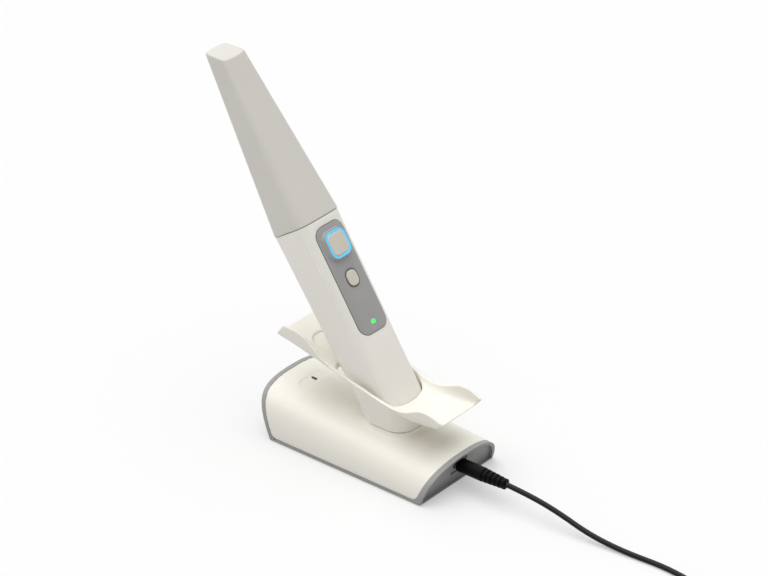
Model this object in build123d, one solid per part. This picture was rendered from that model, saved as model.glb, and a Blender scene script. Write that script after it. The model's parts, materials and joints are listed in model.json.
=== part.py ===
from build123d import *
import math
import os

# Wireless intraoral scanner standing in its charging cradle.
# Millimetres, +Z up. The origin is the centre of the rubber pad on the table.
# +X points to the end of the cradle that takes the power plug, +Y is its width.
# The handpiece has a frame of its own: it starts at the middle of its foot, its
# first axis points out of the face with the buttons and its third axis runs up
# the handpiece to the tip.

# Fits and overruns
SLIDE_GAP = 0.3
FIT_GAP = 0.15
GLUE_GAP = 0.02
OVERRUN = 5.0
FLAT_SHARE = 0.001
BUTTON_PLAY = 0.05

# Cradle base
BASE_FOOT_LENGTH = 124.0
BASE_WIDTH = 75.0
BASE_REACH = 90.0
BASE_BACK_HEIGHT = 33.5
BASE_FRONT_HEIGHT = 25.0
BACK_LEAN_DEG = 24.0
FRONT_LEAN_DEG = 18.5
BACK_FULLNESS_SHARE = 0.84
FRONT_FULLNESS_SHARE = 0.64
COVER_WALL = 2.2
TRAY_EDGE_TOP = 2.6
TRAY_WALL = 2.4
TRAY_CORNER_ROUND = 5.0
TRAY_LIP_TOP = 6.0
BACK_RECESS = 1.0
FRONT_BAND = 3.6
BACK_BAND = 2.6
END_RECESS = 2.4
END_RIM = 2.2
END_BACKING = 1.8
PAD_THICKNESS = 1.2
PAD_PROUD = 0.6
PAD_MARGIN = 5.0
PAD_CORNER = 6.0
BALLAST_THICKNESS = 8.0
BALLAST_LENGTH = 58.0
BALLAST_WIDTH = 40.0
BALLAST_X = -24.0
BALLAST_CORNER = 4.0
BASE_SCREW_RADIUS = 1.5
BASE_SCREW_HEAD_RADIUS = 2.7
BASE_SCREW_HEAD = 0.8
BASE_SCREW_X = 50.0
BASE_SCREW_TOP = 12.0
BASE_SCREW_Y = 24.0
BASE_BOSS_RADIUS = 3.4

# Cradle neck and the saddle that holds the handpiece
NECK_X = 13.9
NECK_LENGTH = 36.2
NECK_WIDTH = 35.6
NECK_CORNER = 13.0
SEAM_HEIGHT = 29.6
COLLAR_RIM = 1.3
COLLAR_FLARE = 3.4
COLLAR_DROP = 4.0
COLLAR_STEP_SHARES = (1.0, 0.8, 0.45, 0.0)
SPIGOT_DEPTH = 7.0
SPIGOT_WALL = 1.6
NECK_TOP_X = 8.5
NECK_TOP_LENGTH = 57.0
NECK_TOP_WIDTH = 46.0
NECK_TOP_CORNER = 19.0
NECK_TOP_HEIGHT = 57.0
NECK_WALL = 1.6
SADDLE_WALL = 2.3
SADDLE_STEPS = 3
SADDLE_TOP = 95.0
SADDLE_CORNER_SHARE = 0.9
# Stations of the saddle: place along it, lowest point, half width, corner radius, dip
SADDLE_STATIONS = [
    (-71.0, 68.2, 21.1, 3.4, 0.6, 34.2),
    (-45.0, 62.8, 22.0, 5.0, 1.2, 0.0),
    (-18.0, 56.0, 23.2, 7.0, 2.0, 0.0),
    (8.0, 48.2, 23.4, 9.0, 2.4, 0.0),
    (32.0, 43.0, 22.7, 11.0, 2.4, 0.0),
    (48.0, 44.0, 21.7, 7.0, 2.4, 0.0),
    (60.4, 46.4, 21.1, 5.6, 2.3, 39.2),
]
WING_FRONT_TOP = (66.6, 54.0)
WING_BACK_TOP = (-64.6, 77.6)
LIP_BACK_CREST = (-47.0, 76.4)
LIP_BACK_FALL = (-35.6, 69.2)
LIP_CUP_BACK = (-20.0, 61.6)
LIP_CUP_MID = (5.0, 56.4)
LIP_CUP_FRONT = (30.0, 51.4)
LIP_RISE = (40.0, 53.9)
LIP_FRONT_CREST = (49.0, 57.6)
LIP_OVERRUN = 34.0
SOCKET_GAP = 0.5
SOCKET_MOUTH_GAP = 2.6
SOCKET_MOUTH_DEPTH = 16.0
SOCKET_REACH = 70.0
SOCKET_SEAT = 2.2
SCOOP_RADIUS = 10.0
SCOOP_FLOOR = 1.3
SCOOP_BACK_X = -54.0

# Handpiece
LEAN_DEG = 34.1
FOOT_X = 12.07
FOOT_HEIGHT = 38.0
BODY_WIDTH = 38.4
BODY_LENGTH = 130.4
BODY_FRONT = 16.4
BODY_REAR = 17.3
FOOT_TAPER_SHARE = 0.088
FRONT_CROWN_SHARE = 0.17
REAR_CROWN_SHARE = 0.08
BODY_CORNER = 8.0
BODY_WALL = 2.2
TONGUE_SHARE = 0.5
TONGUE_ABOVE = 1.0
TONGUE_BELOW = 2.0
SEAM_GAP = 0.3
FOOT_ROUND = 2.0
PARTING_DROP = 5.2
PARTING_GROOVE = 0.35
NOSE_LENGTH = 97.0
NOSE_GAP = 0.8
NOSE_WALL = 1.6
NOSE_FLANGE = 5.0
NOSE_GLASS = 1.2
SEAL_OFFSET = 4.0
SEAL_LENGTH = 3.0
SEAL_THICKNESS = 0.45

# Removable tip sleeve
SLEEVE_LENGTH = 121.55
SLEEVE_STEP = 0.35
SLEEVE_WALL = 1.8
TIP_WIDTH = 20.4
TIP_FRONT = 8.15
TIP_REAR = 8.15
TIP_CORNER_RADIUS = 2.6
TIP_EDGE_ROUND = 1.0
WINDOW_LENGTH = 12.0
WINDOW_WIDTH = 14.0
WINDOW_CORNER = 2.5
WINDOW_BELOW_TIP = 6.5
WINDOW_PANE = 1.2
MIRROR_LENGTH = 14.2
MIRROR_WIDTH = 14.2
MIRROR_THICKNESS = 1.1
MIRROR_BELOW_TIP = 6.0
MIRROR_SHIFT = 0.5
MIRROR_TILT_DEG = 45.0

# Control panel and buttons
PANEL_BOTTOM = 49.8
PANEL_TOP = 125.25
PANEL_WIDTH = 25.6
PANEL_CORNER = 7.0
PANEL_DEPTH = 1.2
PANEL_PROUD = 0.25
BUTTON_HEIGHT = 111.25
BUTTON_WIDTH = 14.6
BUTTON_LENGTH = 14.8
BUTTON_CORNER = 3.6
BUTTON_TOP = 19.0
BUTTON_TRAVEL = 0.8
BUTTON_FLANGE = 1.0
BUTTON_FLANGE_RIM = 1.0
BUTTON_EDGE_ROUND = 0.6
RING_BAND = 1.3
RING_DEPTH = 1.8
RING_TOP = 18.7
MOUND_TOP = 18.5
MOUND_RIM = 0.6
MOUND_SPREAD = 2.2
MODE_HEIGHT = 87.25
MODE_WIDTH = 9.0
MODE_LENGTH = 10.4
MODE_CORNER = 3.8
MODE_TOP = 16.9
MODE_TRAVEL = 0.5
MODE_SURROUND = 1.6
MODE_SURROUND_DEPTH = 0.5
LED_HEIGHT = 56.4
LED_WIDTH = 4.0
LED_LENGTH = 2.8
LED_CORNER = 1.3
LED_TOP = 15.95
LED_BOTTOM = 9.4
FLANGE_TOP = 12.9
STEM_RADIUS = 1.8

# Inside the handpiece
BOARD_THICKNESS = 1.2
BUTTON_BOARD_X = 8.6
BUTTON_BOARD_WIDTH = 18.0
BUTTON_BOARD_BOTTOM = 52.0
BUTTON_BOARD_TOP = 122.0
SWITCH_SIZE = 6.0
SWITCH_HEIGHT = 1.5
MAIN_BOARD_X = -12.4
MAIN_BOARD_WIDTH = 19.0
MAIN_BOARD_BOTTOM = 16.0
MAIN_BOARD_TOP = 122.0
CHASSIS_BULKHEAD_BOTTOM = 80.0
CHASSIS_BULKHEAD = 3.0
CHASSIS_RAIL_WIDTH = 4.4
CHASSIS_RAIL_Y = 12.0
CHASSIS_TOP = 118.0
CHASSIS_RAIL_DEPTH = 8.0
CHASSIS_RAIL_BOTTOM = 3.2
BATTERY_RADIUS = 9.0
BATTERY_LENGTH = 65.0
BATTERY_BOTTOM = 11.0
BATTERY_X = -1.9
OPTICS_WIDTH = 19.0
OPTICS_DEPTH = 15.0
OPTICS_X = -2.5
OPTICS_BOTTOM = 85.5
OPTICS_LENGTH = 32.0
PROJECTOR_RADIUS = 3.6
CAMERA_RADIUS = 2.3
CAMERA_SPACING = 6.4
LENS_DEPTH = 3.0
CONTACT_RADIUS = 2.2
CONTACT_SPACING = 10.0
CONTACT_THICKNESS = 1.2
CONTACT_INSET = 0.5
FOOT_SCREW_RADIUS = 1.0
FOOT_SCREW_HEAD_RADIUS = 1.9
FOOT_SCREW_HEAD = 1.1
FOOT_SCREW_LENGTH = 7.0
FOOT_SCREW_X = 9.0
FOOT_SCREW_INSET = 0.3

# Charging contacts in the socket
PIN_RADIUS = 1.1
PIN_BORE_GAP = 0.06
PIN_HEAD_RADIUS = 1.7
PIN_HEAD = 1.0
PIN_PROUD = 0.45
PIN_CHAMBER = 1.9
BLOCK_WIDTH = 17.0
BLOCK_DEPTH = 8.0
BLOCK_HEIGHT = 6.4
CHARGE_BOARD_BACK_X = 22.0
CHARGE_BOARD_FRONT_X = 58.0
CHARGE_BOARD_HALF_WIDTH = 13.0
CHARGE_BOARD_HEIGHT = 8.0
CHARGE_POST_RADIUS = 2.0
CHARGE_POST_INSET = 3.0

# Status light in the cover
STATUS_X = -56.0
STATUS_LENGTH = 4.4
STATUS_WIDTH = 1.7
STATUS_PIPE_BOTTOM = 22.0
STATUS_DISH_LENGTH = 9.0
STATUS_DISH_WIDTH = 27.0
STATUS_DISH_DEPTH = 0.35

# Power inlet, plug and lead
JACK_HEIGHT = 14.5
JACK_POCKET = 14.0
JACK_POCKET_CORNER = 3.5
JACK_POCKET_DEPTH = 1.2
JACK_WIDTH = 10.6
JACK_BORE = 3.1
JACK_NOSE_RADIUS = 4.4
JACK_PIN_RADIUS = 0.9
JACK_BACK_X = 47.0
PLUG_FACE_X = 64.9
PLUG_RADIUS = 4.7
PLUG_BODY_LENGTH = 20.0
PLUG_LENGTH = 37.5
PLUG_TAIL_RADIUS = 3.6
PLUG_RIB_COUNT = 5
PLUG_RIB_GAP = 1.1
PLUG_RIB_DEPTH = 0.8
PLUG_NOSE_ROUND = 0.8
BARREL_RADIUS = 2.75
BARREL_BORE = 1.2
BARREL_LENGTH = 9.5
CORD_RADIUS = 1.8
RATIO_DIGITS = 4
CORD_BEND_SHARE = 0.45
COIL_X = 318.0
COIL_Y = 4.0
COIL_MIDDLE_RADIUS = 20.0
COIL_WIDE = 3
COIL_HIGH = 4
ADAPTER_X = 378.0
ADAPTER_Y = -14.0
ADAPTER_LENGTH = 58.0
ADAPTER_WIDTH = 38.0
ADAPTER_HEIGHT = 27.0
ADAPTER_ROUND = 4.0
BLADE_LENGTH = 17.0
BLADE_WIDTH = 6.4
BLADE_THICKNESS = 1.5
BLADE_SPACING = 12.7
RELIEF_LENGTH = 9.0
RELIEF_HEIGHT = 9.0
RELIEF_Y = -19.6
RELIEF_RADIUS = 3.2

# The lead's route on the table, from the plug's tail to the coil
LEAD_ROUTE = [
    (102.5, 0.0, 14.5),
    (122.0, 0.4, 13.5),
    (145.0, 0.0, 10.4),
    (169.0, -0.8, 5.0),
    (195.0, 1.0, 1.8),
    (230.0, 4.0, 1.8),
    (263.0, -2.0, 1.8),
    (285.0, -13.0, 1.8),
    (304.5, -19.6, 1.8),
]

HAND_TILT = math.radians(LEAN_DEG)
UPWARD = (math.sin(HAND_TILT), 0, math.cos(HAND_TILT))
HAND = Plane(
    origin=(FOOT_X, 0, FOOT_HEIGHT),
    x_dir=(math.cos(HAND_TILT), 0, math.sin(HAND_TILT)),
    z_dir=(-math.sin(HAND_TILT), 0, math.cos(HAND_TILT)),
)
TIP_HEIGHT = BODY_LENGTH + SLEEVE_LENGTH
PARTS = {}


# Small helpers
def mix(start, end, share):
    return start + (end - start) * share


def eased(start, end, leaving, arriving, share):
    square = share * share
    cube = square * share
    ends = mix(start, end, 3 * square - 2 * cube)
    return ends + (cube - 2 * square + share) * leaving + (cube - square) * arriving


def block(x_from, x_to, y_from, y_to, z_from, z_to):
    size = Box(x_to - x_from, y_to - y_from, z_to - z_from, align=(Align.MIN, Align.MIN, Align.MIN))
    return Pos(x_from, y_from, z_from) * size


def post(x, y, z_from, z_to, radius):
    solid = Cylinder(radius, z_to - z_from, align=(Align.CENTER, Align.CENTER, Align.MIN))
    return Pos(x, y, z_from) * solid


def bar_along_x(x_from, x_to, y, z, radius):
    plane = Plane(origin=(x_from, y, z), x_dir=(0, 1, 0), z_dir=(1, 0, 0))
    return extrude(plane * Circle(radius), x_to - x_from)


def front_prism(width, length, corner, height, x_from, x_to):
    plane = Plane(origin=(x_from, 0, height), x_dir=(0, 1, 0), z_dir=(1, 0, 0))
    return extrude(plane * RectangleRounded(width, length, corner), x_to - x_from)


def upright_prism(x, y, length, width, corner, z_from, z_to):
    plane = Plane(origin=(x, y, z_from))
    return extrude(plane * RectangleRounded(length, width, corner), z_to - z_from)


# Handpiece sections and shells, in the handpiece's own frame
def hand_face(half_width, front, rear, corner, height):
    front_edge = front * (1 - FRONT_CROWN_SHARE)
    rear_edge = rear * (1 - REAR_CROWN_SHARE)
    outline = [
        ThreePointArc((front_edge, -half_width), (front, 0), (front_edge, half_width)),
        Line((front_edge, half_width), (-rear_edge, half_width)),
        ThreePointArc((-rear_edge, half_width), (-rear, 0), (-rear_edge, -half_width)),
        Line((-rear_edge, -half_width), (front_edge, -half_width)),
    ]
    face = make_face(outline)
    face = fillet(face.vertices(), radius=corner)
    return Pos(0, 0, height) * face


def body_face(height, grow):
    share = 1 - FOOT_TAPER_SHARE * (1 - height / BODY_LENGTH)
    half_width = BODY_WIDTH / 2 * share
    corner = BODY_CORNER * share * (half_width + grow) / half_width
    return hand_face(half_width + grow, BODY_FRONT * share + grow, BODY_REAR * share + grow, corner, height)


def sleeve_face(height, grow):
    share = (height - BODY_LENGTH) / SLEEVE_LENGTH
    half_width = mix(BODY_WIDTH / 2 + SLEEVE_STEP, TIP_WIDTH / 2, share)
    front = mix(BODY_FRONT + SLEEVE_STEP, TIP_FRONT, share)
    rear = mix(BODY_REAR + SLEEVE_STEP, TIP_REAR, share)
    corner = mix(BODY_CORNER, TIP_CORNER_RADIUS, share) * (half_width + grow) / half_width
    return hand_face(half_width + grow, front + grow, rear + grow, corner, height)


def body_solid(low, high, grow):
    return loft([body_face(low, grow), body_face(high, grow)])


def sleeve_solid(low, high, grow):
    return loft([sleeve_face(low, grow), sleeve_face(high, grow)])


def foot_plane(lift):
    return Plane(origin=(lift * UPWARD[0], 0, lift * UPWARD[2]), z_dir=UPWARD)


def parting_plane(shift):
    origin = BODY_FRONT * (1 - FOOT_TAPER_SHARE) - PARTING_DROP + shift
    return Plane(origin=(origin, 0, 0), z_dir=(BODY_LENGTH, 0, -BODY_FRONT * FOOT_TAPER_SHARE))


def parting_slab(low, high, grow):
    slab = body_solid(-BODY_REAR, BODY_LENGTH, grow)
    slab = split(slab, bisect_by=parting_plane(low), keep=Keep.TOP)
    slab = split(slab, bisect_by=parting_plane(high), keep=Keep.BOTTOM)
    return split(slab, bisect_by=foot_plane(BODY_WALL), keep=Keep.TOP)


def body_shell():
    outer = body_solid(-BODY_REAR, BODY_LENGTH, 0)
    outer = split(outer, bisect_by=foot_plane(0), keep=Keep.TOP)
    sole = outer.faces().filter_by(lambda face: abs(face.normal_at().dot(Vector(*UPWARD)) + 1) < FLAT_SHARE)
    outer = fillet(sole[0].edges(), radius=FOOT_ROUND)
    inner = body_solid(-BODY_REAR, BODY_LENGTH + OVERRUN, -BODY_WALL)
    inner = split(inner, bisect_by=foot_plane(BODY_WALL), keep=Keep.TOP)
    return outer - inner


def key_hole(width, length, corner, height, gap):
    return front_prism(width + 2 * gap, length + 2 * gap, corner + gap, height, 0, BODY_FRONT + OVERRUN)


def front_cover(shell):
    cover = split(shell, bisect_by=parting_plane(PARTING_GROOVE / 2), keep=Keep.TOP)
    pocket = key_hole(PANEL_WIDTH, PANEL_TOP - PANEL_BOTTOM, PANEL_CORNER, (PANEL_TOP + PANEL_BOTTOM) / 2, 0)
    pocket = pocket - body_solid(0, BODY_LENGTH + OVERRUN, -PANEL_DEPTH)
    cover = cover - pocket
    cover = cover - key_hole(BUTTON_WIDTH, BUTTON_LENGTH, BUTTON_CORNER, BUTTON_HEIGHT, SLIDE_GAP)
    cover = cover - key_hole(MODE_WIDTH, MODE_LENGTH, MODE_CORNER, MODE_HEIGHT, SLIDE_GAP)
    cover = cover - key_hole(LED_WIDTH, LED_LENGTH, LED_CORNER, LED_HEIGHT, 0)
    return cover - parting_slab(-OVERRUN, TONGUE_ABOVE + FIT_GAP, FIT_GAP - BODY_WALL * TONGUE_SHARE)


def rear_housing(shell):
    housing = split(shell, bisect_by=parting_plane(-PARTING_GROOVE / 2), keep=Keep.BOTTOM)
    tongue = parting_slab(-TONGUE_BELOW, TONGUE_ABOVE, -BODY_WALL * TONGUE_SHARE)
    tongue = tongue - body_solid(-BODY_REAR, BODY_LENGTH + OVERRUN, -BODY_WALL)
    housing = housing + tongue
    return housing


def button_mound():
    reach = SLIDE_GAP + RING_BAND + MOUND_RIM
    width = BUTTON_WIDTH + 2 * reach
    length = BUTTON_LENGTH + 2 * reach
    corner = BUTTON_CORNER + reach
    foot_x = BODY_FRONT - PANEL_DEPTH - MOUND_SPREAD
    low = Plane(origin=(foot_x, 0, BUTTON_HEIGHT), x_dir=(0, 1, 0), z_dir=(1, 0, 0))
    high = Plane(origin=(MOUND_TOP, 0, BUTTON_HEIGHT), x_dir=(0, 1, 0), z_dir=(1, 0, 0))
    wide = RectangleRounded(width + 2 * MOUND_SPREAD, length + 2 * MOUND_SPREAD, corner + MOUND_SPREAD)
    return loft([low * wide, high * RectangleRounded(width, length, corner)])


def control_panel():
    middle = (PANEL_TOP + PANEL_BOTTOM) / 2
    panel = key_hole(PANEL_WIDTH, PANEL_TOP - PANEL_BOTTOM, PANEL_CORNER, middle, 0)
    panel = panel & body_solid(0, BODY_LENGTH, PANEL_PROUD)
    panel = panel + button_mound()
    panel = panel - body_solid(0, BODY_LENGTH, -PANEL_DEPTH)
    ring = SLIDE_GAP + RING_BAND
    ring_width = BUTTON_WIDTH + 2 * ring
    ring_length = BUTTON_LENGTH + 2 * ring
    floor = RING_TOP - RING_DEPTH
    corner = BUTTON_CORNER + ring
    panel = panel - front_prism(ring_width, ring_length, corner, BUTTON_HEIGHT, floor, BUTTON_TOP)
    panel = panel - key_hole(BUTTON_WIDTH, BUTTON_LENGTH, BUTTON_CORNER, BUTTON_HEIGHT, SLIDE_GAP)
    panel = panel - key_hole(MODE_WIDTH, MODE_LENGTH, MODE_CORNER, MODE_HEIGHT, SLIDE_GAP)
    around = SLIDE_GAP + MODE_SURROUND
    floor = MODE_TOP - PANEL_PROUD - MODE_SURROUND_DEPTH
    groove_width = MODE_WIDTH + 2 * around
    groove_length = MODE_LENGTH + 2 * around
    corner = MODE_CORNER + around
    panel = panel - front_prism(groove_width, groove_length, corner, MODE_HEIGHT, floor, BUTTON_TOP)
    return panel - key_hole(LED_WIDTH, LED_LENGTH, LED_CORNER, LED_HEIGHT, 0)


def light_ring():
    ring = SLIDE_GAP + RING_BAND
    width = BUTTON_WIDTH + 2 * ring
    length = BUTTON_LENGTH + 2 * ring
    solid = front_prism(width, length, BUTTON_CORNER + ring, BUTTON_HEIGHT, RING_TOP - RING_DEPTH, RING_TOP)
    return solid - key_hole(BUTTON_WIDTH, BUTTON_LENGTH, BUTTON_CORNER, BUTTON_HEIGHT, SLIDE_GAP)


def push_button(width, length, corner, height, top, travel):
    cap = front_prism(width, length, corner, height, FLANGE_TOP - BUTTON_FLANGE, top)
    crown = cap.edges().filter_by(lambda edge: abs(edge.center().X - top) < FLAT_SHARE)
    cap = fillet(crown, radius=BUTTON_EDGE_ROUND)
    rim = 2 * BUTTON_FLANGE_RIM
    flange = front_prism(width + rim, length + rim, corner, height, FLANGE_TOP - BUTTON_FLANGE, FLANGE_TOP)
    stem_end = BUTTON_BOARD_X + SWITCH_HEIGHT + travel + PIN_BORE_GAP
    stem = bar_along_x(stem_end, FLANGE_TOP, 0, height, STEM_RADIUS)
    return cap + flange + stem


def button_board():
    board = block(
        BUTTON_BOARD_X - BOARD_THICKNESS, BUTTON_BOARD_X,
        -BUTTON_BOARD_WIDTH / 2, BUTTON_BOARD_WIDTH / 2,
        BUTTON_BOARD_BOTTOM, BUTTON_BOARD_TOP,
    )
    half = SWITCH_SIZE / 2
    for height in (BUTTON_HEIGHT, MODE_HEIGHT):
        top = BUTTON_BOARD_X + SWITCH_HEIGHT
        board = board + block(BUTTON_BOARD_X, top, -half, half, height - half, height + half)
    return board


def main_board():
    half = MAIN_BOARD_WIDTH / 2
    front = MAIN_BOARD_X + BOARD_THICKNESS
    return block(MAIN_BOARD_X, front, -half, half, MAIN_BOARD_BOTTOM, MAIN_BOARD_TOP)


def chassis():
    low = CHASSIS_BULKHEAD_BOTTOM
    frame = body_solid(low, low + CHASSIS_BULKHEAD, -BODY_WALL - FIT_GAP)
    half_depth = CHASSIS_RAIL_DEPTH / 2
    for side in (-1, 1):
        middle = side * CHASSIS_RAIL_Y
        half = CHASSIS_RAIL_WIDTH / 2
        rail = block(-half_depth, half_depth, middle - half, middle + half, -BODY_REAR, CHASSIS_TOP)
        frame = frame + split(rail, bisect_by=foot_plane(CHASSIS_RAIL_BOTTOM), keep=Keep.TOP)
    slot = MAIN_BOARD_WIDTH / 2 + FIT_GAP
    below = low - OVERRUN
    above = low + CHASSIS_BULKHEAD + OVERRUN
    thick = BOARD_THICKNESS + FIT_GAP
    frame = frame - block(MAIN_BOARD_X - FIT_GAP, MAIN_BOARD_X + thick, -slot, slot, below, above)
    return frame - block(BUTTON_BOARD_X - thick, BODY_FRONT, -slot, slot, below, above)


def battery_pack():
    cell = post(BATTERY_X, 0, BATTERY_BOTTOM, BATTERY_BOTTOM + BATTERY_LENGTH, BATTERY_RADIUS)
    return fillet(cell.edges().filter_by(GeomType.CIRCLE), radius=BUTTON_EDGE_ROUND)


def optics_block():
    half_depth = OPTICS_DEPTH / 2
    top = OPTICS_BOTTOM + OPTICS_LENGTH
    solid = block(
        OPTICS_X - half_depth, OPTICS_X + half_depth, -OPTICS_WIDTH / 2, OPTICS_WIDTH / 2, OPTICS_BOTTOM, top
    )
    solid = solid - post(OPTICS_X, 0, top - LENS_DEPTH, top + OVERRUN, PROJECTOR_RADIUS)
    for side in (-1, 1):
        solid = solid - post(OPTICS_X, side * CAMERA_SPACING, top - LENS_DEPTH, top + OVERRUN, CAMERA_RADIUS)
    return solid


def sensor_board():
    half_depth = OPTICS_DEPTH / 2
    low = OPTICS_BOTTOM - BOARD_THICKNESS
    return block(
        OPTICS_X - half_depth, OPTICS_X + half_depth, -OPTICS_WIDTH / 2, OPTICS_WIDTH / 2, low, OPTICS_BOTTOM
    )


def lens(y, radius):
    top = OPTICS_BOTTOM + OPTICS_LENGTH
    return post(OPTICS_X, y, top - LENS_DEPTH, top, radius)


def nose_tube():
    inside = -SLEEVE_WALL - NOSE_GAP
    top = BODY_LENGTH + NOSE_LENGTH
    tube = sleeve_solid(BODY_LENGTH, top, inside)
    tube = tube + body_solid(BODY_LENGTH - NOSE_FLANGE, BODY_LENGTH, -BODY_WALL - FIT_GAP)
    return tube - sleeve_solid(BODY_LENGTH - NOSE_FLANGE - OVERRUN, top + OVERRUN, inside - NOSE_WALL)


def nose_window():
    top = BODY_LENGTH + NOSE_LENGTH
    return sleeve_solid(top - NOSE_GLASS, top, -SLEEVE_WALL - NOSE_GAP - NOSE_WALL - GLUE_GAP)


def sleeve_seal():
    low = BODY_LENGTH + SEAL_OFFSET
    inside = -SLEEVE_WALL - NOSE_GAP
    band = sleeve_solid(low, low + SEAL_LENGTH, inside + SEAL_THICKNESS)
    return band - sleeve_solid(low - OVERRUN, low + SEAL_LENGTH + OVERRUN, inside)


def tip_plane(below):
    return Plane(origin=(-below * UPWARD[0], 0, TIP_HEIGHT - below * UPWARD[2]), z_dir=UPWARD)


def window_cut(x_to):
    height = TIP_HEIGHT - WINDOW_BELOW_TIP
    return front_prism(WINDOW_WIDTH, WINDOW_LENGTH, WINDOW_CORNER, height, -BODY_REAR, x_to)


def tip_sleeve():
    low = BODY_LENGTH + SEAM_GAP
    outer = sleeve_solid(low, TIP_HEIGHT + TIP_FRONT, 0)
    outer = split(outer, bisect_by=tip_plane(0), keep=Keep.BOTTOM)
    end = outer.faces().filter_by(lambda face: abs(face.normal_at().dot(Vector(*UPWARD)) - 1) < FLAT_SHARE)
    outer = fillet(end[0].edges(), radius=TIP_EDGE_ROUND)
    inner = sleeve_solid(low - OVERRUN, TIP_HEIGHT + TIP_FRONT, -SLEEVE_WALL)
    inner = split(inner, bisect_by=tip_plane(SLEEVE_WALL), keep=Keep.BOTTOM)
    return outer - inner - window_cut(0)


def tip_window():
    pane = window_cut(0) & sleeve_solid(BODY_LENGTH, TIP_HEIGHT + TIP_FRONT, -SLEEVE_WALL + WINDOW_PANE)
    return pane - sleeve_solid(BODY_LENGTH, TIP_HEIGHT + TIP_FRONT, -SLEEVE_WALL)


def tip_mirror():
    plate = Box(MIRROR_LENGTH, MIRROR_WIDTH, MIRROR_THICKNESS)
    return Pos(-MIRROR_SHIFT, 0, TIP_HEIGHT - MIRROR_BELOW_TIP) * Rot(0, MIRROR_TILT_DEG, 0) * plate


# Foot contacts and screws lie level in the world, so they are made there
def contact_pads():
    low = FOOT_HEIGHT + CONTACT_INSET
    pads = []
    for side in (-1, 1):
        pads.append(post(FOOT_X, side * CONTACT_SPACING / 2, low, low + CONTACT_THICKNESS, CONTACT_RADIUS))
    return pads


def foot_screws():
    screws = []
    low = FOOT_HEIGHT + FOOT_SCREW_INSET
    for side in (-1, 1):
        y = side * CHASSIS_RAIL_Y
        head = post(FOOT_SCREW_X, y, low, low + FOOT_SCREW_HEAD, FOOT_SCREW_HEAD_RADIUS)
        screws.append(head + post(FOOT_SCREW_X, y, low, low + FOOT_SCREW_LENGTH, FOOT_SCREW_RADIUS))
    return screws


def foot_holes():
    holes = []
    for side in (-1, 1):
        y = side * CONTACT_SPACING / 2
        holes.append(post(FOOT_X, y, FOOT_HEIGHT - OVERRUN, FOOT_HEIGHT + OVERRUN, CONTACT_RADIUS))
        top = FOOT_HEIGHT + FOOT_SCREW_INSET + FOOT_SCREW_HEAD
        y = side * CHASSIS_RAIL_Y
        holes.append(post(FOOT_SCREW_X, y, FOOT_HEIGHT - OVERRUN, top, FOOT_SCREW_HEAD_RADIUS))
    return holes


# Cradle base
def end_plane(side, inset):
    lean = math.radians(FRONT_LEAN_DEG if side > 0 else BACK_LEAN_DEG)
    normal = (side * math.cos(lean), 0, -math.sin(lean))
    middle = side * BASE_FOOT_LENGTH / 2
    return Plane(origin=(middle - inset * normal[0], 0, -inset * normal[2]), z_dir=normal)


def between_ends(solid, front_inset, back_inset):
    solid = split(solid, bisect_by=end_plane(1, front_inset), keep=Keep.BOTTOM)
    return split(solid, bisect_by=end_plane(-1, back_inset), keep=Keep.BOTTOM)


def arch_face(x, inset):
    front_x = BASE_FOOT_LENGTH / 2 + BASE_FRONT_HEIGHT * math.tan(math.radians(FRONT_LEAN_DEG))
    back_x = -BASE_FOOT_LENGTH / 2 - BASE_BACK_HEIGHT * math.tan(math.radians(BACK_LEAN_DEG))
    share = (x - back_x) / (front_x - back_x)
    height = mix(BASE_BACK_HEIGHT, BASE_FRONT_HEIGHT, share) - inset
    full = mix(BACK_FULLNESS_SHARE, FRONT_FULLNESS_SHARE, share)
    half = BASE_WIDTH / 2 - inset
    outline = [
        Bezier((half, 0), (half, full * height), (full * half, height), (0, height)),
        Bezier((0, height), (-full * half, height), (-half, full * height), (-half, 0)),
        Line((-half, 0), (half, 0)),
    ]
    return Plane(origin=(x, 0, 0), x_dir=(0, 1, 0), z_dir=(1, 0, 0)) * make_face(outline)


def arch_solid(inset):
    return loft([arch_face(-BASE_REACH, inset), arch_face(BASE_REACH, inset)])


def cover_prism():
    low = TRAY_EDGE_TOP
    front = end_plane(1, FRONT_BAND).origin
    back = end_plane(-1, BACK_BAND).origin
    front_rate = math.tan(math.radians(FRONT_LEAN_DEG))
    back_rate = math.tan(math.radians(BACK_LEAN_DEG))
    front_foot = front.X + (low - front.Z) * front_rate
    back_foot = back.X - (low - back.Z) * back_rate
    rise = BASE_BACK_HEIGHT + OVERRUN - low
    corners = [
        (back_foot, low),
        (front_foot, low),
        (front_foot + rise * front_rate, low + rise),
        (back_foot - rise * back_rate, low + rise),
    ]
    face = make_face(Polyline(*corners, close=True))
    lower = face.vertices().sort_by(Axis.Y)[:2]
    face = fillet(lower, radius=TRAY_CORNER_ROUND)
    plane = Plane(origin=(0, BASE_WIDTH, 0), x_dir=(1, 0, 0), z_dir=(0, -1, 0))
    return extrude(plane * face, 2 * BASE_WIDTH)


def neck_prism(inset, z_from, z_to):
    length = NECK_LENGTH - 2 * inset
    width = NECK_WIDTH - 2 * inset
    return upright_prism(NECK_X, 0, length, width, NECK_CORNER - inset, z_from, z_to)


def collar():
    faces = []
    for share in COLLAR_STEP_SHARES:
        spread = COLLAR_FLARE * (1 - math.sqrt(1 - share * share))
        height = SEAM_HEIGHT - COLLAR_DROP * share
        outline = RectangleRounded(NECK_LENGTH + 2 * spread, NECK_WIDTH + 2 * spread, NECK_CORNER + spread)
        faces.append(Plane(origin=(NECK_X, 0, height)) * outline)
    return loft(faces)


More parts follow.
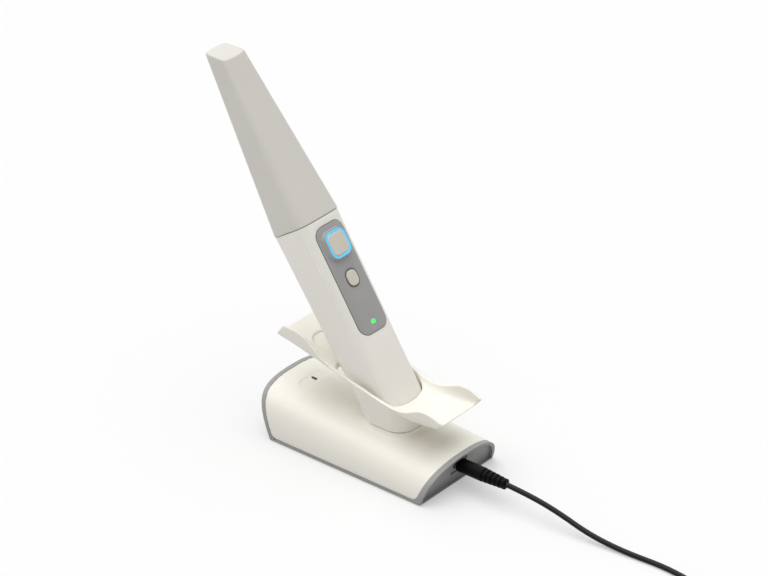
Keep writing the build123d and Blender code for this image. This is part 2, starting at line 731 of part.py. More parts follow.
def status_dish(outer):
    radius = STATUS_DISH_LENGTH / 2 - BUTTON_PLAY
    low = TRAY_EDGE_TOP
    dish = upright_prism(STATUS_X, 0, STATUS_DISH_LENGTH, STATUS_DISH_WIDTH, radius, low, SADDLE_TOP)
    return (dish & outer) - arch_solid(STATUS_DISH_DEPTH)


def status_slot(z_from):
    radius = STATUS_WIDTH / 2 - BUTTON_PLAY
    return upright_prism(STATUS_X, 0, STATUS_LENGTH, STATUS_WIDTH, radius, z_from, SADDLE_TOP)


def screw_places():
    return [(side_x * BASE_SCREW_X, side_y * BASE_SCREW_Y) for side_x in (-1, 1) for side_y in (-1, 1)]


def base_cover():
    outer = arch_solid(0)
    inner = arch_solid(COVER_WALL)
    prism = cover_prism()
    cover = (outer & prism) + collar()
    cover = cover - (inner & prism)
    cover = cover - neck_prism(COLLAR_RIM, 0, SADDLE_TOP)
    for x, y in screw_places():
        boss = post(x, y, TRAY_EDGE_TOP, BASE_BACK_HEIGHT, BASE_BOSS_RADIUS) & arch_solid(COVER_WALL / 2)
        cover = cover + boss
        cover = cover - post(x, y, 0, BASE_SCREW_TOP, BASE_SCREW_RADIUS)
    cover = cover - status_dish(outer)
    return cover - status_slot(STATUS_PIPE_BOTTOM)


def base_tray():
    outer = between_ends(arch_solid(0), 0, 0)
    outer = outer & block(-BASE_REACH, BASE_REACH, -BASE_WIDTH, BASE_WIDTH, PAD_PROUD, SADDLE_TOP)
    tray = outer - cover_prism()
    wall = arch_solid(COVER_WALL + FIT_GAP)
    wall = wall & block(-BASE_REACH, BASE_REACH, -BASE_WIDTH, BASE_WIDTH, TRAY_EDGE_TOP, SADDLE_TOP)
    front_wall = between_ends(wall, FRONT_BAND, 0) - between_ends(wall, FRONT_BAND + END_BACKING, 0)
    back_wall = between_ends(wall, 0, BACK_BAND) - between_ends(wall, 0, BACK_BAND + END_BACKING)
    tray = tray + front_wall + back_wall
    lip = wall - arch_solid(COVER_WALL + TRAY_WALL)
    lip = between_ends(lip, FRONT_BAND, BACK_BAND)
    lip = lip & block(-BASE_REACH, BASE_REACH, -BASE_WIDTH, BASE_WIDTH, TRAY_EDGE_TOP, TRAY_LIP_TOP)
    tray = tray + lip
    rim = arch_solid(END_RIM)
    rim = rim & block(-BASE_REACH, BASE_REACH, -BASE_WIDTH, BASE_WIDTH, PAD_PROUD + END_RIM, SADDLE_TOP)
    tray = tray - (rim - between_ends(rim, END_RECESS, BACK_RECESS))
    pocket_floor = END_RECESS + JACK_POCKET_DEPTH
    plane = Plane(origin=(0, 0, JACK_HEIGHT), x_dir=(0, 1, 0), z_dir=(1, 0, 0))
    pocket = extrude(plane * RectangleRounded(JACK_POCKET, JACK_POCKET, JACK_POCKET_CORNER), BASE_REACH)
    tray = tray - (pocket - between_ends(pocket, pocket_floor, 0))
    tray = tray - bar_along_x(0, BASE_REACH, 0, JACK_HEIGHT, JACK_NOSE_RADIUS)
    pad_length = BASE_FOOT_LENGTH - 2 * PAD_MARGIN
    pad_width = BASE_WIDTH - 2 * PAD_MARGIN
    tray = tray - upright_prism(0, 0, pad_length, pad_width, PAD_CORNER, 0, PAD_THICKNESS)
    for x, y in screw_places():
        tray = tray - post(x, y, 0, PAD_THICKNESS + BASE_SCREW_HEAD, BASE_SCREW_HEAD_RADIUS)
        tray = tray - post(x, y, 0, TRAY_EDGE_TOP, BASE_SCREW_RADIUS)
    for x in (CHARGE_BOARD_BACK_X + CHARGE_POST_INSET, CHARGE_BOARD_FRONT_X - CHARGE_POST_INSET):
        for side in (-1, 1):
            y = side * (CHARGE_BOARD_HALF_WIDTH - CHARGE_POST_INSET)
            tray = tray + post(x, y, TRAY_EDGE_TOP, CHARGE_BOARD_HEIGHT, CHARGE_POST_RADIUS)
    return tray


def anti_slip_pad():
    pad_length = BASE_FOOT_LENGTH - 2 * PAD_MARGIN
    pad_width = BASE_WIDTH - 2 * PAD_MARGIN
    return upright_prism(0, 0, pad_length, pad_width, PAD_CORNER, 0, PAD_THICKNESS)


def base_screws():
    screws = []
    for x, y in screw_places():
        head = post(x, y, PAD_THICKNESS, PAD_THICKNESS + BASE_SCREW_HEAD, BASE_SCREW_HEAD_RADIUS)
        screws.append(head + post(x, y, PAD_THICKNESS, BASE_SCREW_TOP, BASE_SCREW_RADIUS))
    return screws


def ballast_plate():
    low = TRAY_EDGE_TOP
    high = low + BALLAST_THICKNESS
    return upright_prism(BALLAST_X, 0, BALLAST_LENGTH, BALLAST_WIDTH, BALLAST_CORNER, low, high)


def charge_board():
    half = CHARGE_BOARD_HALF_WIDTH
    low = CHARGE_BOARD_HEIGHT
    return block(CHARGE_BOARD_BACK_X, CHARGE_BOARD_FRONT_X, -half, half, low, low + BOARD_THICKNESS)


def dc_jack():
    half = JACK_WIDTH / 2
    low = CHARGE_BOARD_HEIGHT + BOARD_THICKNESS
    jack = block(0, BASE_REACH, -half, half, low, JACK_HEIGHT + half)
    jack = between_ends(jack, FRONT_BAND + END_BACKING, 0)
    jack = jack & block(JACK_BACK_X, BASE_REACH, -half, half, 0, SADDLE_TOP)
    nose = bar_along_x(JACK_BACK_X, BASE_REACH, 0, JACK_HEIGHT, JACK_NOSE_RADIUS)
    jack = jack + between_ends(nose, END_RECESS + JACK_POCKET_DEPTH, 0)
    jack = jack - bar_along_x(JACK_BACK_X + END_RIM, BASE_REACH, 0, JACK_HEIGHT, JACK_BORE)
    contact = bar_along_x(JACK_BACK_X, PLUG_FACE_X - END_RIM, 0, JACK_HEIGHT, JACK_PIN_RADIUS)
    return jack + contact


def base_light_pipe():
    pipe = status_slot(STATUS_PIPE_BOTTOM)
    return pipe & arch_solid(STATUS_DISH_DEPTH)


# Saddle and neck, one moulding
def saddle_face(station, grow):
    x, low, half_width, corner, dip, lean = station
    low = low - grow
    half_width = half_width + grow
    corner = max(corner + grow * SADDLE_CORNER_SHARE, SADDLE_WALL)
    side = low + dip
    outline = [
        ThreePointArc((-half_width, side), (0, low), (half_width, side)),
        Line((half_width, side), (half_width, SADDLE_TOP)),
        Line((half_width, SADDLE_TOP), (-half_width, SADDLE_TOP)),
        Line((-half_width, SADDLE_TOP), (-half_width, side)),
    ]
    face = make_face(outline)
    lower = face.vertices().sort_by(Axis.Y)[:2]
    face = fillet(lower, radius=corner)
    run = math.sin(math.radians(lean))
    rise = math.cos(math.radians(lean))
    start = station[1]
    plane = Plane(origin=(x - run * start, 0, start - rise * start), x_dir=(0, 1, 0), z_dir=(rise, 0, -run))
    return plane * face


def saddle_stations():
    known = SADDLE_STATIONS[:1] + SADDLE_STATIONS + SADDLE_STATIONS[-1:]
    rows = []
    for before, start, end, after in zip(known, known[1:], known[2:], known[3:]):
        gap = end[0] - start[0]
        for step in range(SADDLE_STEPS):
            share = step / SADDLE_STEPS
            row = []
            for place in range(len(start)):
                leaving = gap * (end[place] - before[place]) / (end[0] - before[0])
                arriving = gap * (after[place] - start[place]) / (after[0] - start[0])
                row.append(eased(start[place], end[place], leaving, arriving, share))
            rows.append(row)
    rows.append(SADDLE_STATIONS[-1])
    return rows


def saddle_solid(grow):
    return loft([saddle_face(station, grow) for station in saddle_stations()], ruled=True)


def neck_solid(inset, low, high):
    faces = []
    for height in (low, high):
        share = (height - SEAM_HEIGHT) / (NECK_TOP_HEIGHT - SEAM_HEIGHT)
        length = mix(NECK_LENGTH, NECK_TOP_LENGTH, share) - 2 * inset
        width = mix(NECK_WIDTH, NECK_TOP_WIDTH, share) - 2 * inset
        corner = mix(NECK_CORNER, NECK_TOP_CORNER, share) - inset
        plane = Plane(origin=(mix(NECK_X, NECK_TOP_X, share), 0, height))
        faces.append(plane * RectangleRounded(length, width, corner))
    return loft(faces)


def space_above_lip():
    first = (WING_BACK_TOP[0] - LIP_OVERRUN, WING_BACK_TOP[1] + OVERRUN)
    last = (WING_FRONT_TOP[0] + LIP_OVERRUN, WING_FRONT_TOP[1] - OVERRUN)
    top = 2 * SADDLE_TOP
    crest = Spline(
        first, WING_BACK_TOP, LIP_BACK_CREST, LIP_BACK_FALL, LIP_CUP_BACK, LIP_CUP_MID,
        LIP_CUP_FRONT, LIP_RISE, LIP_FRONT_CREST, WING_FRONT_TOP, last,
    )
    outline = [
        crest,
        Line(last, (last[0], top)),
        Line((last[0], top), (first[0], top)),
        Line((first[0], top), first),
    ]
    plane = Plane(origin=(0, BASE_WIDTH, 0), x_dir=(1, 0, 0), z_dir=(0, -1, 0))
    return extrude(plane * make_face(outline), 2 * BASE_WIDTH)


def socket_cut():
    straight = body_solid(-BODY_REAR, SOCKET_REACH, SOCKET_GAP)
    mouth = loft([body_face(0, SOCKET_GAP), body_face(SOCKET_MOUTH_DEPTH, SOCKET_MOUTH_GAP)])
    upper = body_solid(SOCKET_MOUTH_DEPTH, SOCKET_REACH, SOCKET_MOUTH_GAP)
    cut = HAND.location * (straight + mouth + upper)
    return cut & block(-BASE_REACH, BASE_REACH, -BASE_WIDTH, BASE_WIDTH, FOOT_HEIGHT, 2 * SADDLE_TOP)


def socket_cup():
    cup = body_solid(-BODY_REAR, SOCKET_REACH, SOCKET_GAP + NECK_WALL)
    cup = HAND.location * cup
    low = FOOT_HEIGHT - SOCKET_SEAT
    return cup & block(-BASE_REACH, BASE_REACH, -BASE_WIDTH, BASE_WIDTH, low, SADDLE_TOP)


def holder():
    outer = saddle_solid(0)
    inner = saddle_solid(-SADDLE_WALL)
    neck = neck_solid(0, SEAM_HEIGHT + PARTING_GROOVE, NECK_TOP_HEIGHT)
    hollow = neck_solid(NECK_WALL, SEAM_HEIGHT - OVERRUN, NECK_TOP_HEIGHT) - outer
    shell = neck - hollow
    shell = shell + neck_prism(COLLAR_RIM + FIT_GAP, SEAM_HEIGHT - SPIGOT_DEPTH, SEAM_HEIGHT + END_RIM)
    inset = COLLAR_RIM + FIT_GAP + SPIGOT_WALL
    shell = shell - neck_prism(inset, 0, SEAM_HEIGHT + END_RIM)
    shell = shell + (socket_cup() & neck_solid(0, SEAM_HEIGHT + PARTING_GROOVE, NECK_TOP_HEIGHT))
    saddle = shell + outer
    saddle = saddle - inner
    saddle = saddle - space_above_lip()
    saddle = saddle - socket_cut()
    scoop_end = SCOOP_BACK_X + SCOOP_RADIUS
    scoop = post(scoop_end, 0, 0, SADDLE_TOP, SCOOP_RADIUS)
    scoop = scoop + block(scoop_end, 0, -SCOOP_RADIUS, SCOOP_RADIUS, 0, SADDLE_TOP)
    saddle = saddle - (scoop & saddle_solid(-SCOOP_FLOOR))
    for side in (-1, 1):
        saddle = saddle - post(FOOT_X, side * CONTACT_SPACING / 2, 0, SADDLE_TOP, PIN_RADIUS + PIN_BORE_GAP)
    return saddle


def contact_block():
    top = FOOT_HEIGHT - SOCKET_SEAT
    half = BLOCK_WIDTH / 2
    depth = BLOCK_DEPTH / 2
    solid = block(FOOT_X - depth, FOOT_X + depth, -half, half, top - BLOCK_HEIGHT, top)
    for side in (-1, 1):
        y = side * CONTACT_SPACING / 2
        solid = solid - post(FOOT_X, y, 0, SADDLE_TOP, PIN_RADIUS + PIN_BORE_GAP)
        solid = solid - post(FOOT_X, y, top - BLOCK_HEIGHT + PIN_HEAD, top - PIN_HEAD, PIN_CHAMBER)
    return solid


def charge_pin(side):
    y = side * CONTACT_SPACING / 2
    top = FOOT_HEIGHT + PIN_PROUD
    head_top = FOOT_HEIGHT - SOCKET_SEAT - PIN_HEAD - PIN_BORE_GAP
    shaft = post(FOOT_X, y, head_top - PIN_HEAD, top, PIN_RADIUS)
    return shaft + post(FOOT_X, y, head_top - PIN_HEAD, head_top, PIN_HEAD_RADIUS)


# Plug, lead and wall adapter
def dc_plug():
    profile = [(PLUG_FACE_X, 0), (PLUG_FACE_X, PLUG_RADIUS), (PLUG_FACE_X + PLUG_BODY_LENGTH, PLUG_RADIUS)]
    pitch = (PLUG_LENGTH - PLUG_BODY_LENGTH) / PLUG_RIB_COUNT
    for rib in range(PLUG_RIB_COUNT):
        share = (rib + 1) / PLUG_RIB_COUNT
        radius = mix(PLUG_RADIUS, PLUG_TAIL_RADIUS, share)
        start = PLUG_FACE_X + PLUG_BODY_LENGTH + rib * pitch
        profile.append((start, radius - PLUG_RIB_DEPTH))
        profile.append((start + PLUG_RIB_GAP, radius - PLUG_RIB_DEPTH))
        profile.append((start + PLUG_RIB_GAP, radius))
        profile.append((start + pitch, radius))
    profile.append((PLUG_FACE_X + PLUG_LENGTH, 0))
    face = make_face(Polyline(*profile, close=True))
    solid = revolve(Plane.XZ * face, axis=Axis.X)
    solid = Pos(0, 0, JACK_HEIGHT) * solid
    nose = solid.edges().filter_by(lambda edge: abs(edge.center().X - PLUG_FACE_X) < FLAT_SHARE)
    return fillet(nose, radius=PLUG_NOSE_ROUND)


def plug_barrel():
    start = PLUG_FACE_X - BARREL_LENGTH
    barrel = bar_along_x(start, PLUG_FACE_X, 0, JACK_HEIGHT, BARREL_RADIUS)
    return barrel - bar_along_x(start, PLUG_FACE_X - END_RIM, 0, JACK_HEIGHT, BARREL_BORE)


def bend_radii(route):
    radii = []
    for before, here, after in zip(route, route[1:], route[2:]):
        into = Vector(*here) - Vector(*before)
        out = Vector(*after) - Vector(*here)
        turn = math.radians(into.get_angle(out))
        radii.append(CORD_BEND_SHARE * min(into.length, out.length) / math.tan(turn / 2))
    return radii


def tube_along(route):
    radii = bend_radii(route)
    path = FilletPolyline(*route, radius=radii)
    start = Plane(origin=path @ 0, z_dir=path % 0)
    tube = sweep(start * Circle(CORD_RADIUS), path=path)
    section = math.pi * CORD_RADIUS ** 2
    print("bend radii", [round(radius, 1) for radius in radii])
    ratio = tube.volume / (section * path.length)
    print("tube length", round(path.length, 1))
    print("volume over section times length", round(ratio, RATIO_DIGITS))
    return tube


def cord_coil():
    half_wide = COIL_WIDE * CORD_RADIUS
    high = 2 * COIL_HIGH * CORD_RADIUS
    plane = Plane(origin=(COIL_X, COIL_Y, 0), x_dir=(1, 0, 0), z_dir=(0, -1, 0))
    section = Pos(COIL_MIDDLE_RADIUS, high / 2) * RectangleRounded(2 * half_wide, high, CORD_RADIUS)
    return revolve(plane * section, axis=Axis((COIL_X, COIL_Y, 0), (0, 0, 1)))


def power_adapter():
    low = ADAPTER_HEIGHT / 2
    brick = Pos(ADAPTER_X, ADAPTER_Y, low) * Box(ADAPTER_LENGTH, ADAPTER_WIDTH, ADAPTER_HEIGHT)
    brick = fillet(brick.edges(), radius=ADAPTER_ROUND)
    face = ADAPTER_X - ADAPTER_LENGTH / 2
    start = face - RELIEF_LENGTH
    return brick + bar_along_x(start, face + ADAPTER_ROUND, RELIEF_Y, RELIEF_HEIGHT, RELIEF_RADIUS)


def adapter_pins():
    blades = []
    start = ADAPTER_X + ADAPTER_LENGTH / 2
    for side in (-1, 1):
        y = ADAPTER_Y + side * BLADE_SPACING / 2
        half = BLADE_THICKNESS / 2
        low = (ADAPTER_HEIGHT - BLADE_WIDTH) / 2
        blades.append(block(start, start + BLADE_LENGTH, y - half, y + half, low, low + BLADE_WIDTH))
    return blades


# Put the pieces together
def put(name, shape):
    solids = shape if isinstance(shape, list) else shape.solids()
    PARTS[name] = Compound(children=[copy_of for solid in solids for copy_of in solid.solids()])


def put_on_hand(name, shape):
    put(name, HAND.location * shape)


SHELL = body_shell()
FRONT_COVER = HAND.location * front_cover(SHELL)
REAR_HOUSING = HAND.location * rear_housing(SHELL)
FRAME = HAND.location * chassis()
for hole in foot_holes():
    FRONT_COVER = FRONT_COVER - hole
    REAR_HOUSING = REAR_HOUSING - hole
for screw in foot_screws():
    REAR_HOUSING = REAR_HOUSING - screw
    FRAME = FRAME - screw
put("front_cover", FRONT_COVER)
put("rear_housing", REAR_HOUSING)
put("chassis", FRAME)
put("contact_pads", contact_pads())
put("housing_screws", foot_screws())
put_on_hand("control_panel", control_panel())
put_on_hand("button_light_ring", light_ring())
put_on_hand("scan_button", push_button(
    BUTTON_WIDTH, BUTTON_LENGTH, BUTTON_CORNER, BUTTON_HEIGHT, BUTTON_TOP, BUTTON_TRAVEL))
put_on_hand("mode_button", push_button(
    MODE_WIDTH, MODE_LENGTH, MODE_CORNER, MODE_HEIGHT, MODE_TOP, MODE_TRAVEL))
put_on_hand("status_light", front_prism(LED_WIDTH, LED_LENGTH, LED_CORNER, LED_HEIGHT, LED_BOTTOM, LED_TOP))
put_on_hand("button_board", button_board())
put_on_hand("main_board", main_board())
put_on_hand("battery_pack", battery_pack())
put_on_hand("optics_block", optics_block())
put_on_hand("sensor_board", sensor_board())
put_on_hand("projector_lens", lens(0, PROJECTOR_RADIUS))
put_on_hand("camera_lenses", lens(-CAMERA_SPACING, CAMERA_RADIUS) + lens(CAMERA_SPACING, CAMERA_RADIUS))
put_on_hand("nose_tube", nose_tube())
put_on_hand("nose_window", nose_window())
put_on_hand("sleeve_seal", sleeve_seal())
put_on_hand("tip_sleeve", tip_sleeve())
put_on_hand("tip_window", tip_window())
put_on_hand("tip_mirror", tip_mirror())
put("base_cover", base_cover())
put("base_tray", base_tray())
put("anti_slip_pad", anti_slip_pad())
put("base_screws", base_screws())
put("ballast_plate", ballast_plate())
put("charge_board", charge_board())
put("dc_jack", dc_jack())
put("base_light_pipe", base_light_pipe())
put("holder", holder())
put("contact_block", contact_block())
put("charge_pin_left", charge_pin(1))
put("charge_pin_right", charge_pin(-1))
put("dc_plug", dc_plug())
put("plug_barrel", plug_barrel())
put("cord_tube", tube_along(LEAD_ROUTE))
put("cord_coil", cord_coil())
put("power_adapter", power_adapter())
put("adapter_pins", adapter_pins())

os.makedirs("parts", exist_ok=True)
for name, shape in PARTS.items():
    export_step(shape, "parts/" + name + ".step")
    print(name, len(shape.solids()), round(sum(solid.volume for solid in shape.solids()), 1))
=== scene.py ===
# %% [markdown]
# A wireless intraoral scanner leans back in its charging cradle. The handpiece is two satin
# white shells with a matt tip sleeve pushed over its nose, and the cradle is an ivory moulding
# on a grey tray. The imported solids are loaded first, because every piece below has to fit them.

# %% Load the solids and keep their box
import json
import math
import bpy
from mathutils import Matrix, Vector


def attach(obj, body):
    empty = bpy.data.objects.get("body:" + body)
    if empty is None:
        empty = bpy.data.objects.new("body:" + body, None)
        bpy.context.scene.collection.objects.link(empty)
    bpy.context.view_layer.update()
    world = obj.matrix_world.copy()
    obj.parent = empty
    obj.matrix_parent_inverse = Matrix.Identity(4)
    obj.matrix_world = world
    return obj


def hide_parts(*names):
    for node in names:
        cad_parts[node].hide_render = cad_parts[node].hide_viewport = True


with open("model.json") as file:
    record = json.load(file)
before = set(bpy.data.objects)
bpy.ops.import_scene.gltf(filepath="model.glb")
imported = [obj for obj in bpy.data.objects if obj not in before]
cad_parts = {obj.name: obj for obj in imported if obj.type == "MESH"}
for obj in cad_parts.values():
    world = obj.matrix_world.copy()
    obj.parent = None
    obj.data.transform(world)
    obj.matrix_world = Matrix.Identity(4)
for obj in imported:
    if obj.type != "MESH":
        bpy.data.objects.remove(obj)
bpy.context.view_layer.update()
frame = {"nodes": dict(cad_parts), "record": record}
MM = 0.001
print("solids", len(frame["nodes"]))

# %% [markdown]
# The camera stands where the photographer stood, about 3.3 m away with a long lens, so the
# handpiece keeps nearly parallel sides. It is worked out from the cradle's straight edges.
# It comes first with the lead, since the lead has to leave the picture in the right place.

# %% Place the camera
CAMERA_PLACE = (1.76963, -2.14531, 1.75061)
CAMERA_TURN_DEG = 39.48
CAMERA_FALL_DEG = 30.38
CAMERA_LENS_MM = 238.69

bpy.ops.object.camera_add(
    location=CAMERA_PLACE,
    rotation=(math.radians(90 - CAMERA_FALL_DEG), 0, math.radians(CAMERA_TURN_DEG)),
)
camera = bpy.context.object
camera.name = "camera"
camera.data.lens = CAMERA_LENS_MM
camera.data.sensor_width = 36
camera.data.clip_end = 20
bpy.context.scene.camera = camera
bpy.context.scene.view_settings.view_transform = "Standard"
print("camera distance", round(Vector(CAMERA_PLACE).length, 3))

# %% [markdown]
# The lead of a small adapter is a round black PVC cable, 3.6 mm thick and 1.5 m long. Only its
# first part shows, so the rest is wound up beside the wall adapter, outside the picture. It is
# one smooth curve: points listed along the table, and then turns worked out by a loop,
# three side by side and four high, each one cable thickness from the next.

# %% Lay the lead and wind up its spare length
LEAD_THICKNESS = 3.6
LEAD_ROUTE = [
    (102.5, 0.0, 14.5),
    (122.0, 0.4, 13.5),
    (145.0, 0.0, 10.4),
    (169.0, -0.8, 5.0),
    (195.0, 1.0, 1.8),
    (230.0, 4.0, 1.8),
    (263.0, -2.0, 1.8),
    (285.0, -13.0, 1.8),
    (304.5, -19.6, 1.8),
]
COIL_CENTRE = (318.0, 4.0)
TURN_RADII = (23.6, 20.0, 16.4)
TURNS = 10
POINTS_A_TURN = 16
SHIFT_SHARE = 0.75
COIL_START_DEG = -100
LEAD_END = [(326.0, -14.8, 12.4), (333.0, -18.3, 11.0), (340.0, -19.6, 9.2), (346.0, -19.6, 9.0)]


def turn_place(turn):
    level, across = divmod(turn, len(TURN_RADII))
    if level % 2:
        across = len(TURN_RADII) - 1 - across
    return TURN_RADII[across], LEAD_THICKNESS * (level + 0.5)


def coil_points():
    points = []
    for step in range(TURNS * POINTS_A_TURN):
        turn, point = divmod(step, POINTS_A_TURN)
        here = turn_place(turn)
        after = turn_place(turn + 1)
        shift = max(0, point / POINTS_A_TURN - SHIFT_SHARE) / (1 - SHIFT_SHARE)
        radius = here[0] + (after[0] - here[0]) * shift
        height = here[1] + (after[1] - here[1]) * shift
        angle = math.radians(COIL_START_DEG + 360 * step / POINTS_A_TURN)
        x = COIL_CENTRE[0] + radius * math.cos(angle)
        y = COIL_CENTRE[1] + radius * math.sin(angle)
        points.append((x, y, height))
    return points


bpy.ops.object.select_all(action="DESELECT")
bpy.ops.curve.primitive_nurbs_path_add()
lead = bpy.context.object
lead.name = "power_lead"
lead.location = (0, 0, 0)
lead.data.splines.clear()
spline = lead.data.splines.new("NURBS")
lead_points = LEAD_ROUTE + coil_points() + LEAD_END
spline.points.add(len(lead_points) - 1)
for point, place in zip(spline.points, lead_points):
    point.co = (place[0] * MM, place[1] * MM, place[2] * MM, 1)
    point.radius = LEAD_THICKNESS / 2 * MM
spline.order_u = 3
spline.use_endpoint_u = True
lead.data.bevel_depth = 1
lead.data.bevel_resolution = 5
lead.data.resolution_u = 6
lead.data.use_fill_caps = True
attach(lead, "cradle")
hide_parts("cord_tube", "cord_coil")
nodes = frame["nodes"]
print("lead points", len(lead_points))

# %% [markdown]
# Each finish starts from what the real one is. Colours are written as the hex values that a
# screen shows, so one small function turns them into the linear values that the shader needs,
# and another adds a node with its settings and links.

# %% Colour and node helpers
def colour(text):
    parts = [int(text[i:i + 2], 16) / 255 for i in (1, 3, 5)]
    linear = [part / 12.92 if part <= 0.04045 else ((part + 0.055) / 1.055) ** 2.4 for part in parts]
    return (*linear, 1)


def add_node(tree, kind, feeds=None, **settings):
    made = tree.nodes.new(kind)
    for name, value in settings.items():
        setattr(made, name, value)
    for name, value in (feeds or {}).items():
        if isinstance(value, bpy.types.NodeSocket):
            tree.links.new(value, made.inputs[name])
        else:
            made.inputs[name].default_value = value
    return made


def new_material(name):
    material = bpy.data.materials.new(name)
    material.use_nodes = True
    tree = material.node_tree
    return material, tree, tree.nodes["Principled BSDF"]


def grain_scale(size_mm):
    return 1 / (size_mm * MM)


# %% [markdown]
# Housings like these are injection moulded ABS. The mould gives them a very fine satin grain,
# and thick and thin places shrink a little differently, so the surface is never quite even.
# One function makes every moulded plastic: a broad, faint change of colour, and a fine bump
# whose grain is a real size in millimetres.

# %% Make the moulded plastics
CLOUD_MM = 28
ROUGH_SPREAD = 0.05
GRAIN_DEPTH_SHARE = 0.2
PLASTIC_IOR = 1.5
COAT_ROUGHNESS = 0.25


def moulded_plastic(name, main, deep, rough, grain_mm, bump, coat=0.0):
    material, tree, shader = new_material(name)
    place = add_node(tree, "ShaderNodeTexCoord").outputs["Object"]
    cloud = add_node(
        tree, "ShaderNodeTexNoise", {"Vector": place, "Scale": grain_scale(CLOUD_MM), "Detail": 2.0}
    )
    tint = add_node(tree, "ShaderNodeMix", {"Factor": cloud.outputs["Fac"]}, data_type="RGBA")
    tint.inputs[6].default_value = colour(main)
    tint.inputs[7].default_value = colour(deep)
    tree.links.new(tint.outputs[2], shader.inputs["Base Color"])
    grain = add_node(
        tree, "ShaderNodeTexNoise", {"Vector": place, "Scale": grain_scale(grain_mm), "Detail": 3.0}
    )
    wear = add_node(
        tree, "ShaderNodeMapRange",
        {
            "Value": grain.outputs["Fac"],
            "To Min": rough - ROUGH_SPREAD,
            "To Max": rough + ROUGH_SPREAD,
        },
    )
    tree.links.new(wear.outputs["Result"], shader.inputs["Roughness"])
    lift = add_node(
        tree, "ShaderNodeBump",
        {
            "Height": grain.outputs["Fac"],
            "Strength": bump,
            "Distance": grain_mm * MM * GRAIN_DEPTH_SHARE,
        },
    )
    tree.links.new(lift.outputs["Normal"], shader.inputs["Normal"])
    shader.inputs["IOR"].default_value = PLASTIC_IOR
    shader.inputs["Coat Weight"].default_value = coat
    shader.inputs["Coat Roughness"].default_value = COAT_ROUGHNESS
    return material


# Name, main and deep colour, roughness, grain in millimetres, bump and clear coat
FINISH = {
    "white_shell": moulded_plastic("satin_white_abs", "#F4F1E9", "#EFECE3", 0.38, 0.35, 0.12, 0.15),
    "sleeve_white": moulded_plastic("matt_white_polysulfone", "#DCD9D2", "#D7D4CC", 0.55, 0.30, 0.18),
    "ivory_shell": moulded_plastic("satin_ivory_abs", "#F2EFE5", "#EEEBE0", 0.40, 0.40, 0.12, 0.10),
    "grey_trim": moulded_plastic("matt_grey_abs", "#9D9C9B", "#989796", 0.50, 0.35, 0.20),
    "grey_panel": moulded_plastic("satin_grey_overlay", "#A3A2A1", "#9E9D9C", 0.42, 0.45, 0.10, 0.10),
    "button_grey": moulded_plastic("warm_grey_button_plastic", "#DAD5C7", "#D6D0C1", 0.45, 0.30, 0.10),
    "dark_optics": moulded_plastic("black_glass_filled_nylon", "#1A1A1C", "#141416", 0.45, 0.40, 0.25),
    "frame_grey": moulded_plastic("dark_grey_chassis_nylon", "#55585C", "#4E5155", 0.50, 0.50, 0.25),
    "cell_wrap": moulded_plastic("blue_battery_wrap", "#2E5E96", "#29568B", 0.30, 0.80, 0.06, 0.30),
    "board_green": moulded_plastic("green_solder_mask", "#12562F", "#0E4A28", 0.30, 1.20, 0.10, 0.40),
    "lead_black": moulded_plastic("black_pvc", "#0A0A0B", "#070708", 0.45, 0.90, 0.35),
    "lead_gloss": moulded_plastic("black_pvc_cable", "#0C0C0D", "#09090A", 0.30, 0.50, 0.10),
    "soft_rubber": moulded_plastic("black_silicone_rubber", "#1E1E20", "#19191B", 0.70, 0.40, 0.25),
}
BLACK_GLOSS = {"lead_black": 0.08, "lead_gloss": 0.2, "soft_rubber": 0.15}
for black, gloss in BLACK_GLOSS.items():
    FINISH[black].node_tree.nodes["Principled BSDF"].inputs["Specular IOR Level"].default_value = gloss
print("plastics", len(FINISH))

# %% [markdown]
# Metals and glass are plainer: plated steel and gold get a faint brushed bump, the sight glass
# lets light through, and the tip's mirror is a smooth metal layer on glass.

# %% Make the metals, glass and lights
METAL_DEPTH_SHARE = 0.1
GLASS_IOR = 1.5
HAZE_MM = 6
HAZE_LOW = 0.85
HAZE_HIGH = 1.15


def plated_metal(name, main, rough, grain_mm, bump):
    material, tree, shader = new_material(name)
    place = add_node(tree, "ShaderNodeTexCoord").outputs["Object"]
    grain = add_node(
        tree, "ShaderNodeTexNoise", {"Vector": place, "Scale": grain_scale(grain_mm), "Detail": 2.0}
    )
    lift = add_node(
        tree, "ShaderNodeBump",
        {
            "Height": grain.outputs["Fac"],
            "Strength": bump,
            "Distance": grain_mm * MM * METAL_DEPTH_SHARE,
        },
    )
    tree.links.new(lift.outputs["Normal"], shader.inputs["Normal"])
    shader.inputs["Base Color"].default_value = colour(main)
    shader.inputs["Metallic"].default_value = 1
    shader.inputs["Roughness"].default_value = rough
    return material


def clear_glass(name):
    material, tree, shader = new_material(name)
    shader.inputs["Base Color"].default_value = colour("#E8F0F2")
    shader.inputs["Roughness"].default_value = 0.03
    shader.inputs["Transmission Weight"].default_value = 0.9
    shader.inputs["IOR"].default_value = GLASS_IOR
    return material


def lit_guide(name, main, strength):
    material, tree, shader = new_material(name)
    place = add_node(tree, "ShaderNodeTexCoord").outputs["Object"]
    haze = add_node(tree, "ShaderNodeTexNoise", {"Vector": place, "Scale": grain_scale(HAZE_MM)})
    glow = add_node(
        tree, "ShaderNodeMapRange",
        {
            "Value": haze.outputs["Fac"],
            "To Min": strength * HAZE_LOW,
            "To Max": strength * HAZE_HIGH,
        },
    )
    shader.inputs["Base Color"].default_value = colour("#101418")
    shader.inputs["Roughness"].default_value = 0.3
    shader.inputs["Emission Color"].default_value = colour(main)
    tree.links.new(glow.outputs["Result"], shader.inputs["Emission Strength"])
    return material


